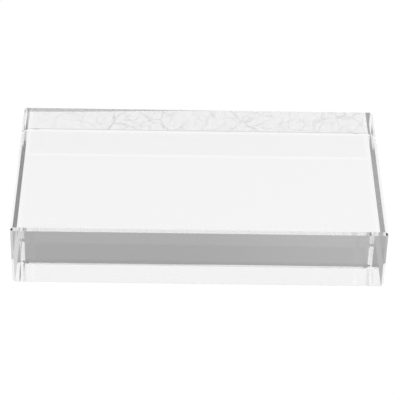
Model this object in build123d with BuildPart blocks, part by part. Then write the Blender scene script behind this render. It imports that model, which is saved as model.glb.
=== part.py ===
from build123d import *
import os

# Solid clear glass block for a card display, polished on all six faces, with a narrow
# 45 degree chamfer on every edge, and the thin clear film that protects its rear face.
# Millimetres. +X runs along the block's length, +Y towards its rear face, +Z up.
# The origin is the centre of the flat base.

# Driving dimensions
block_length = 88.9  # 3.5 in, a card's long side
block_depth = 50.8  # 2 in
block_height = 16.4  # about the thickness of a full deck of cards
edge_chamfer = 0.6  # leg of the polished chamfer
film_thickness = 0.1
film_inset = 0.2  # bare glass left between the film's edge and the chamfers

# Sizes that follow from them
rear_face_y = block_depth / 2
film_length = block_length - 2 * (edge_chamfer + film_inset)
film_height = block_height - 2 * (edge_chamfer + film_inset)
film_corner_radius = 0.5

os.makedirs("parts", exist_ok=True)

# Glass block: one lump, with a three-sided facet where the chamfers meet at each corner
with BuildPart() as glass_block:
    with BuildSketch(Plane.XY):
        Rectangle(block_length, block_depth)
    extrude(amount=block_height)
    chamfer(glass_block.edges(), length=edge_chamfer)
glass_block.part.label = "glass_block"

# Rear film: clings to the flat of the rear face, and peels straight off it
rear_face_plane = Plane(
    origin=(0, rear_face_y, block_height / 2), x_dir=(-1, 0, 0), z_dir=(0, 1, 0)
)
with BuildPart() as rear_film:
    with BuildSketch(rear_face_plane):
        RectangleRounded(film_length, film_height, film_corner_radius)
    extrude(amount=film_thickness)
rear_film.part.label = "rear_film"

for piece in (glass_block, rear_film):
    export_step(piece.part, f"parts/{piece.part.label}.step")
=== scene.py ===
"""A clear polished glass block with a thin creased protective film clinging to its rear face.

It stands on a pale floor in soft studio light. Lengths are in metres, and the frame is the CAD model's:
+X along the block, +Y towards the rear face, +Z up, with the origin at the centre of the base.
"""

import math

import bmesh
import bpy
from mathutils import Matrix, Vector


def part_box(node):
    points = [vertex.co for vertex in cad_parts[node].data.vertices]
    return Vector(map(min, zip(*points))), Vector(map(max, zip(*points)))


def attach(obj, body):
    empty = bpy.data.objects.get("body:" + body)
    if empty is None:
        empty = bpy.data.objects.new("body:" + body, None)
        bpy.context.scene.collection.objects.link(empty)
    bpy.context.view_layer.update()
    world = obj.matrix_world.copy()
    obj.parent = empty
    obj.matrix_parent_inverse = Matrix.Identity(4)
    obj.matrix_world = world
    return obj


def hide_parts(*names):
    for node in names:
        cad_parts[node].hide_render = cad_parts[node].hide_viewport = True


MM = 0.001

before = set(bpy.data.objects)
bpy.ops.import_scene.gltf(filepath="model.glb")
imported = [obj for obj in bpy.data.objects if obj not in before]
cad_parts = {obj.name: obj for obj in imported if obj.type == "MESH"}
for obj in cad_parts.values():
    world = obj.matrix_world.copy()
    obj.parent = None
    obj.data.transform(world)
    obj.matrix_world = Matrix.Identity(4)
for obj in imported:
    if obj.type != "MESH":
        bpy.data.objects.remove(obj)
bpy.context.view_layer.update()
block_low, block_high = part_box("glass_block")
film_low, film_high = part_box("rear_film")
rear_face_y = block_high.y

# Camera: its place is from the middle of the base's front edge
LENS_MM = 174.2
CAMERA_TURN, CAMERA_TILT, CAMERA_ROLL = (math.radians(angle) for angle in (1.117, 37.098, 1.447))
CAMERA_PLACE = Vector((-7.05, -357.31, 295.92)) * MM

# Studio
FLOOR_GAP = 0.05 * MM  # keeps the floor clear of the block's base
FLOOR_REACH = 3.0
OVERHEAD_GLOW = 0.55
SIDE_LAMP_GLOW = 0.37
LOW_LAMP_GLOW = 0.43

# Glass
GLASS_INDEX = 1.52  # optical crown glass
GLASS_ABSORPTION = 1.6  # per metre
BEVEL_ROUGHNESS = 0.01, 0.06  # where the grinding is finest and coarsest
SMEAR_ROUGHNESS = 0.012

# Film
FILM_GRAIN = 0.25 * MM  # spacing of the mesh that carries the creases
FILM_CONTACT = 0.02 * MM  # how far the wet side is sunk into the glass, so that nothing gapes
FILM_THICKNESS = 0.05 * MM
FILM_CORNER = 0.5 * MM
FOLD_WIDTH = 2.9 * MM, 0.1 * MM  # of the doubled-over top edge, at the left end and past the middle
HEM = 0.3 * MM, 0.8 * MM  # full up to the first height above the foot, and gone at the second

# Creases come in three sizes, each with the breadth of the patches it encloses and its own width
BOLD_CELL, BOLD_WIDTH = 7.5 * MM, 0.56 * MM
MIDDLING_CELL, MIDDLING_WIDTH = 3.0 * MM, 0.44 * MM
FINE_CELL, FINE_WIDTH = 1.4 * MM, 0.3 * MM
CREASE_HEIGHT = 0.16 * MM
WAVE_HEIGHT = 0.08 * MM
CREASE_LEAN = 0.45  # below 1, creases run up the sheet more than along it
CREASE_HAZE = 0.19  # share of light that the strongest crease scatters
FILM_VEIL = 0.03  # the same, where the film is smooth
FOLD_HAZE = 0.38  # the same, where the film is doubled over along its top edge
FILM_SLANT = 0.25, 0.45  # 0 is square on and 1 edge on: the wet side's creases start to show, and show fully
FILM_MILK = (0.85, 0.85, 0.85, 1)
FILM_MILK_ROUGHNESS = 0.35
FILM_GLOSS_ROUGHNESS = 0.08
FILM_MIRROR = 0.04  # share that the side in air mirrors square on


# ---------------------------------------------------------------- camera


def aim_camera():
    """A long lens at about 37 degrees above the horizon, a little left of the block's middle."""
    data = bpy.data.cameras.new("camera")
    data.sensor_width = 36.0
    data.lens = LENS_MM
    data.clip_start = 0.01
    data.clip_end = 20.0
    camera = bpy.data.objects.new("camera", data)
    bpy.context.collection.objects.link(camera)
    forward = math.cos(CAMERA_TILT)
    ahead = Vector((math.sin(CAMERA_TURN) * forward, math.cos(CAMERA_TURN) * forward, -math.sin(CAMERA_TILT)))
    level = Vector((math.cos(CAMERA_TURN), -math.sin(CAMERA_TURN), 0.0))
    above = level.cross(ahead)
    right = level * math.cos(CAMERA_ROLL) + above * math.sin(CAMERA_ROLL)
    up = above * math.cos(CAMERA_ROLL) - level * math.sin(CAMERA_ROLL)
    pose = Matrix((right, up, -ahead)).transposed().to_4x4()
    pose.translation = CAMERA_PLACE + Vector((0, block_low.y, 0))
    camera.matrix_world = pose
    bpy.context.scene.camera = camera


# ---------------------------------------------------------------- node helpers


def new_material(name):
    material = bpy.data.materials.new(name)
    material.use_nodes = True
    return material, material.node_tree, material.node_tree.nodes["Principled BSDF"]


def feed(tree, value, socket):
    """Puts a number, a tuple or another node's output into a socket."""
    if isinstance(value, bpy.types.NodeSocket):
        tree.links.new(value, socket)
    else:
        socket.default_value = value


def maths(tree, operation, first, second=0.0, third=0.0):
    node = tree.nodes.new("ShaderNodeMath")
    node.operation = operation
    for socket, value in zip(node.inputs, (first, second, third)):
        feed(tree, value, socket)
    return node.outputs[0]


def between(tree, value, low, high, start=0.0, end=1.0):
    """start where value is at low, end where it is at high, smooth in between and held beyond."""
    node = tree.nodes.new("ShaderNodeMapRange")
    node.interpolation_type = "SMOOTHSTEP"
    names = ("Value", "From Min", "From Max", "To Min", "To Max")
    for name, number in zip(names, (value, low, high, start, end)):
        feed(tree, number, node.inputs[name])
    return node.outputs["Result"]


def noise_at(tree, place, scale, detail=2.0, output="Fac"):
    node = tree.nodes.new("ShaderNodeTexNoise")
    feed(tree, place, node.inputs["Vector"])
    node.inputs["Scale"].default_value = scale
    node.inputs["Detail"].default_value = detail
    return node.outputs[output]


# ---------------------------------------------------------------- studio


def lay_floor():
    mesh = bpy.data.meshes.new("floor")
    shape = bmesh.new()
    bmesh.ops.create_grid(shape, x_segments=1, y_segments=1, size=FLOOR_REACH)
    shape.to_mesh(mesh)
    shape.free()
    floor = bpy.data.objects.new("floor", mesh)
    floor.location.z = block_low.z - FLOOR_GAP
    bpy.context.collection.objects.link(floor)
    material, tree, principled = new_material("pale_floor")
    principled.inputs["Base Color"].default_value = (0.02, 0.02, 0.02, 1)
    principled.inputs["Roughness"].default_value = 1.0
    principled.inputs["Specular IOR Level"].default_value = 0.0
    principled.inputs["Emission Color"].default_value = (1, 1, 1, 1)
    principled.inputs["Emission Strength"].default_value = 1.0
    mesh.materials.append(material)


def light_studio():
    """Grey walls, darkest behind the camera and to its right, with side lamps, under a wide white light.

    x, y and z are those of the direction looked in, so z is 0 at the horizon and 1 overhead.
    """
    world = bpy.data.worlds.new("studio")
    bpy.context.scene.world = world
    world.use_nodes = True
    tree = world.node_tree
    direction = tree.nodes.new("ShaderNodeTexCoord")
    split = tree.nodes.new("ShaderNodeSeparateXYZ")
    tree.links.new(direction.outputs["Generated"], split.inputs[0])
    x, y, z = split.outputs
    sideways = maths(tree, "ABSOLUTE", x)

    # Walls: darker above the horizon, lighter again higher up, on the right and well to either side
    walls = between(tree, z, 0.05, 0.2, 0.50, 0.37)
    walls = maths(tree, "MULTIPLY", walls, between(tree, z, 0.22, 0.6, 1.0, 1.22))
    walls = maths(tree, "MULTIPLY", walls, between(tree, x, 0.0, 0.1, 0.925, 1.06))
    walls = maths(tree, "MULTIPLY", walls, between(tree, sideways, 0.15, 0.4, 1.0, 1.16))

    # The right wall falls off towards the camera, and rises away from it
    right_side = between(tree, y, -0.2, 0.1, -0.42, 0.0)
    right_side = maths(tree, "ADD", right_side, between(tree, y, 0.3, 0.7, 0.0, 0.22))
    right_side = maths(tree, "MULTIPLY_ADD", right_side, between(tree, x, 0.2, 0.45), 1.0)
    walls = maths(tree, "MULTIPLY", walls, right_side)

    # A dark screen stands behind the camera
    in_front = between(tree, y, -0.2, -0.7)
    middle = maths(tree, "MULTIPLY", between(tree, z, 0.2, 0.45), between(tree, z, 0.66, 0.78, 1.0, 0.0))
    screen = maths(tree, "MULTIPLY_ADD", maths(tree, "MULTIPLY", in_front, middle), -0.6, 1.0)
    walls = maths(tree, "MULTIPLY", walls, screen)

    # Lights: one on each side at about 40 degrees up, a low one to the right, and the wide one overhead
    side_lamps = maths(
        tree, "MULTIPLY", between(tree, z, 0.55, 0.6), between(tree, z, 0.68, 0.74, SIDE_LAMP_GLOW, 0.0)
    )
    low_lamp = maths(
        tree, "MULTIPLY", between(tree, x, 0.9, 0.96), between(tree, z, 0.14, 0.18, LOW_LAMP_GLOW, 0.0)
    )
    lamps = maths(tree, "MULTIPLY_ADD", side_lamps, between(tree, sideways, 0.66, 0.72), low_lamp)
    light = maths(tree, "ADD", walls, between(tree, z, 0.8, 0.9, 0.0, OVERHEAD_GLOW))
    light = maths(tree, "ADD", light, lamps)
    tree.links.new(light, tree.nodes["Background"].inputs["Strength"])
    tree.nodes["Background"].inputs["Color"].default_value = (1, 1, 1, 1)


# ---------------------------------------------------------------- creases


def patches(tree, point, size, least):
    """Soft patches of about a size, from least up to 1."""
    return between(tree, noise_at(tree, point, 1 / size, 1.0), 0.4, 0.62, least, 1.0)


def crease_nodes(tree, place):
    """The film's creases at a point of the rear face, and its doubled-over border there, each from 0 to 1.

    The same nodes serve the film's shape and its finish, so that the haze lies on the ridges.
    """
    split = tree.nodes.new("ShaderNodeSeparateXYZ")
    feed(tree, place, split.inputs[0])
    x, z = split.outputs["X"], split.outputs["Z"]
    flat = tree.nodes.new("ShaderNodeCombineXYZ")
    tree.links.new(x, flat.inputs["X"])
    tree.links.new(maths(tree, "MULTIPLY", z, CREASE_LEAN), flat.inputs["Y"])
    sheet = flat.outputs[0]

    def wander(point, scale, reach):
        centred = tree.nodes.new("ShaderNodeVectorMath")
        centred.operation = "SUBTRACT"
        feed(tree, noise_at(tree, point, scale, 2.0, "Color"), centred.inputs[0])
        centred.inputs[1].default_value = (0.5, 0.5, 0.5)
        drift = tree.nodes.new("ShaderNodeVectorMath")
        drift.operation = "MULTIPLY_ADD"
        feed(tree, centred.outputs[0], drift.inputs[0])
        drift.inputs[1].default_value = (reach, reach, 0.0)
        feed(tree, point, drift.inputs[2])
        return drift.outputs[0]

    def ridges(point, cell, width):
        web = tree.nodes.new("ShaderNodeTexVoronoi")
        web.voronoi_dimensions = "2D"
        web.feature = "DISTANCE_TO_EDGE"
        feed(tree, point, web.inputs["Vector"])
        web.inputs["Scale"].default_value = 1.0 / cell
        return between(tree, web.outputs["Distance"], 0.0, width / cell, 1.0, 0.0)

    bent = wander(wander(sheet, 1 / (9 * MM), 7 * MM), 1 / (1.6 * MM), 1.1 * MM)
    bold = maths(tree, "MULTIPLY", ridges(bent, BOLD_CELL, BOLD_WIDTH), patches(tree, sheet, 9 * MM, 0.25))
    middling = ridges(bent, MIDDLING_CELL, MIDDLING_WIDTH)
    middling = maths(tree, "MULTIPLY", middling, patches(tree, bent, 2.5 * MM, 0.25))
    fine = maths(tree, "MULTIPLY", ridges(bent, FINE_CELL, FINE_WIDTH), patches(tree, sheet, 4 * MM, 0.3))
    creases = maths(tree, "MULTIPLY", bold, 0.6)
    creases = maths(tree, "MULTIPLY_ADD", middling, 0.5, creases)
    creases = maths(tree, "MULTIPLY_ADD", fine, 0.2, creases)
    creases = maths(tree, "MULTIPLY_ADD", patches(tree, bent, 1.2 * MM, 0.0), 0.09, creases)
    # The sheet is smoother towards its left end
    creases = maths(tree, "MULTIPLY", creases, between(tree, x, film_low.x, 0.5 * film_low.x, 0.4, 1.0))

    # The top edge is doubled over in a strip that narrows from its left end to past its middle, and the foot
    # in a thin hem
    width = between(tree, x, film_low.x, 0.28 * film_high.x, *FOLD_WIDTH)
    from_top = maths(tree, "SUBTRACT", film_high.z, z)
    fold = between(tree, from_top, maths(tree, "MULTIPLY", width, 0.85), width, 1.0, 0.0)
    hem = between(tree, maths(tree, "SUBTRACT", z, film_low.z), *HEM, 0.5, 0.0)
    return maths(tree, "MINIMUM", creases, 1.0), maths(tree, "MAXIMUM", fold, hem)


def crease_group():
    """The creases as a shader group, for the film's two sides."""
    group = bpy.data.node_groups.new("film_creases", "ShaderNodeTree")
    group.interface.new_socket("Position", in_out="INPUT", socket_type="NodeSocketVector")
    group.interface.new_socket("Haze", in_out="OUTPUT", socket_type="NodeSocketFloat")
    entry, leave = group.nodes.new("NodeGroupInput"), group.nodes.new("NodeGroupOutput")
    creases, border = crease_nodes(group, entry.outputs["Position"])
    haze = maths(group, "MULTIPLY", creases, CREASE_HAZE)
    haze = maths(group, "MAXIMUM", haze, maths(group, "MULTIPLY", border, FOLD_HAZE))
    group.links.new(haze, leave.inputs["Haze"])
    return group


def crease_shape():
    """The creases as a modifier that lifts the film's outer side off the glass."""
    group = bpy.data.node_groups.new("creased_sheet", "GeometryNodeTree")
    group.interface.new_socket("Geometry", in_out="INPUT", socket_type="NodeSocketGeometry")
    group.interface.new_socket("Geometry", in_out="OUTPUT", socket_type="NodeSocketGeometry")
    entry, leave = group.nodes.new("NodeGroupInput"), group.nodes.new("NodeGroupOutput")
    place = group.nodes.new("GeometryNodeInputPosition").outputs[0]
    creases, border = crease_nodes(group, place)
    split = group.nodes.new("ShaderNodeSeparateXYZ")
    group.links.new(place, split.inputs[0])
    lift = maths(group, "MULTIPLY", noise_at(group, place, 1 / (7 * MM), 1.0), WAVE_HEIGHT)
    lift = maths(group, "MULTIPLY_ADD", creases, CREASE_HEIGHT, lift)
    lift = maths(group, "MULTIPLY_ADD", border, FILM_THICKNESS, lift)
    outer = maths(group, "GREATER_THAN", split.outputs["Y"], rear_face_y)
    offset = group.nodes.new("ShaderNodeCombineXYZ")
    group.links.new(maths(group, "MULTIPLY", lift, outer), offset.inputs["Y"])
    move = group.nodes.new("GeometryNodeSetPosition")
    group.links.new(entry.outputs[0], move.inputs["Geometry"])
    group.links.new(offset.outputs[0], move.inputs["Offset"])
    group.links.new(move.outputs[0], leave.inputs[0])
    return group


# ---------------------------------------------------------------- materials


def polish_group():
    """How rough the glass is: bevels keep a little of their grinding, and faces a trace of handling."""
    group = bpy.data.node_groups.new("glass_polish", "ShaderNodeTree")
    group.interface.new_socket("Position", in_out="INPUT", socket_type="NodeSocketVector")
    group.interface.new_socket("Facing", in_out="INPUT", socket_type="NodeSocketVector")
    group.interface.new_socket("Roughness", in_out="OUTPUT", socket_type="NodeSocketFloat")
    entry, leave = group.nodes.new("NodeGroupInput"), group.nodes.new("NodeGroupOutput")
    split = group.nodes.new("ShaderNodeSeparateXYZ")
    group.links.new(entry.outputs["Facing"], split.inputs[0])
    across, along, up = (maths(group, "ABSOLUTE", axis) for axis in split.outputs)
    squareness = maths(group, "MAXIMUM", maths(group, "MAXIMUM", across, along), up)
    bevel = between(group, squareness, 0.75, 0.95, 1.0, 0.0)
    grain = noise_at(group, entry.outputs["Position"], 1 / (0.3 * MM), 3.0)
    grinding = between(group, grain, 0.35, 0.7, *BEVEL_ROUGHNESS)
    touch = noise_at(group, entry.outputs["Position"], 1 / (14 * MM), 4.0)
    smears = between(group, touch, 0.5, 0.75, 0.0, SMEAR_ROUGHNESS)
    rough = maths(group, "MAXIMUM", maths(group, "MULTIPLY", bevel, grinding), smears)
    group.links.new(rough, leave.inputs["Roughness"])
    return group


def clear_glass():
    """Polished optical glass."""
    material, tree, principled = new_material("clear_glass")
    principled.inputs["Base Color"].default_value = (1, 1, 1, 1)
    principled.inputs["Transmission Weight"].default_value = 1.0
    principled.inputs["IOR"].default_value = GLASS_INDEX
    polish = tree.nodes.new("ShaderNodeGroup")
    polish.node_tree = polish_group()
    here = tree.nodes.new("ShaderNodeTexCoord")
    tree.links.new(here.outputs["Object"], polish.inputs["Position"])
    tree.links.new(here.outputs["Normal"], polish.inputs["Facing"])
    tree.links.new(polish.outputs["Roughness"], principled.inputs["Roughness"])
    absorption = tree.nodes.new("ShaderNodeVolumeAbsorption")
    absorption.inputs["Color"].default_value = (0, 0, 0, 1)
    absorption.inputs["Density"].default_value = GLASS_ABSORPTION
    tree.links.new(absorption.outputs[0], tree.nodes["Material Output"].inputs["Volume"])
    return material


def mix_shaders(tree, share, first, second):
    node = tree.nodes.new("ShaderNodeMixShader")
    feed(tree, share, node.inputs["Fac"])
    tree.links.new(first, node.inputs[1])
    tree.links.new(second, node.inputs[2])
    return node.outputs[0]


def clear_film(name, creases, shine):
    """Clear film, milky along its creases and borders. shine is for the side in air, which also mirrors."""
    material, tree, principled = new_material(name)
    principled.inputs["Base Color"].default_value = FILM_MILK
    principled.inputs["Roughness"].default_value = FILM_MILK_ROUGHNESS
    pattern = tree.nodes.new("ShaderNodeGroup")
    pattern.node_tree = creases
    tree.links.new(tree.nodes.new("ShaderNodeTexCoord").outputs["Object"], pattern.inputs["Position"])
    slant = tree.nodes.new("ShaderNodeLayerWeight").outputs["Facing"]
    haze, surface = pattern.outputs["Haze"], principled.outputs[0]
    if shine:
        # From outside the creases show at any angle, over a faint veil
        outside = maths(tree, "SUBTRACT", 1.0, tree.nodes.new("ShaderNodeNewGeometry").outputs["Backfacing"])
        haze = maths(tree, "MULTIPLY", maths(tree, "ADD", haze, FILM_VEIL), outside)
        gloss = tree.nodes.new("ShaderNodeBsdfAnisotropic")
        gloss.inputs["Roughness"].default_value = FILM_GLOSS_ROUGHNESS
        mirrored = maths(tree, "POWER", slant, 5.0)
        mirrored = maths(tree, "MULTIPLY_ADD", mirrored, 1.0 - FILM_MIRROR, FILM_MIRROR)
        surface = mix_shaders(tree, maths(tree, "MULTIPLY", mirrored, outside), surface, gloss.outputs[0])
    else:
        # Through the glass they show where it mirrors the light, and not in the straight view
        haze = maths(tree, "MULTIPLY", haze, between(tree, slant, *FILM_SLANT))
    tree.links.new(haze, principled.inputs["Alpha"])
    tree.links.new(surface, tree.nodes["Material Output"].inputs["Surface"])
    return material


# ---------------------------------------------------------------- pieces


def set_material(node, material):
    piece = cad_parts[node]
    piece.data.materials.clear()
    piece.data.materials.append(material)


def round_corners(verts, middle, half_width, half_height, radius):
    """Draws a flat upright grid's square corners into arcs."""
    for vert in verts:
        x, z = vert.co.x - middle.x, vert.co.z - middle.z
        past_x, past_z = abs(x) - (half_width - radius), abs(z) - (half_height - radius)
        if past_x > 0 and past_z > 0:
            pull = 1.0 - max(past_x, past_z) / math.hypot(past_x, past_z)
            vert.co.x -= math.copysign(past_x * pull, x)
            vert.co.z -= math.copysign(past_z * pull, z)


def make_film():
    """A closed sheet: its wet side lies on the glass, and its outer side is lifted along the creases."""
    width, height = film_high.x - film_low.x, film_high.z - film_low.z
    wet_y = rear_face_y - FILM_CONTACT
    middle = Vector(((film_low.x + film_high.x) / 2, wet_y, (film_low.z + film_high.z) / 2))
    shape = bmesh.new()
    bmesh.ops.create_grid(
        shape, x_segments=round(width / FILM_GRAIN), y_segments=round(height / FILM_GRAIN), size=0.5
    )
    stand_up = Matrix.Rotation(math.radians(-90), 4, "X") @ Matrix.Diagonal((width, height, 1, 1))
    bmesh.ops.transform(shape, verts=shape.verts, matrix=Matrix.Translation(middle) @ stand_up)
    round_corners(shape.verts, middle, width / 2, height / 2, FILM_CORNER)
    outer = bmesh.ops.extrude_face_region(shape, geom=list(shape.faces), use_keep_orig=True)["geom"]
    lifted = [part for part in outer if isinstance(part, bmesh.types.BMVert)]
    bmesh.ops.translate(shape, verts=lifted, vec=(0, FILM_CONTACT + FILM_THICKNESS, 0))
    bmesh.ops.recalc_face_normals(shape, faces=shape.faces)
    for face in shape.faces:
        in_air = face.calc_center_median().y > rear_face_y - 0.5 * FILM_CONTACT
        face.material_index = 1 if in_air else 0
        face.smooth = True
    mesh = bpy.data.meshes.new("creased_film")
    shape.to_mesh(mesh)
    shape.free()
    film = bpy.data.objects.new("creased_film", mesh)
    bpy.context.collection.objects.link(film)
    creases = crease_group()
    mesh.materials.append(clear_film("film_wet_side", creases, shine=False))
    mesh.materials.append(clear_film("film_outer_side", creases, shine=True))
    film.modifiers.new("creases", "NODES").node_group = crease_shape()
    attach(film, "film")
    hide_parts("rear_film")


scene = bpy.context.scene
scene.view_settings.view_transform = "Standard"
scene.cycles.max_bounces = 32
scene.cycles.transmission_bounces = 32
scene.cycles.glossy_bounces = 16
scene.cycles.transparent_max_bounces = 32
aim_camera()
lay_floor()
light_studio()
set_material("glass_block", clear_glass())
make_film()
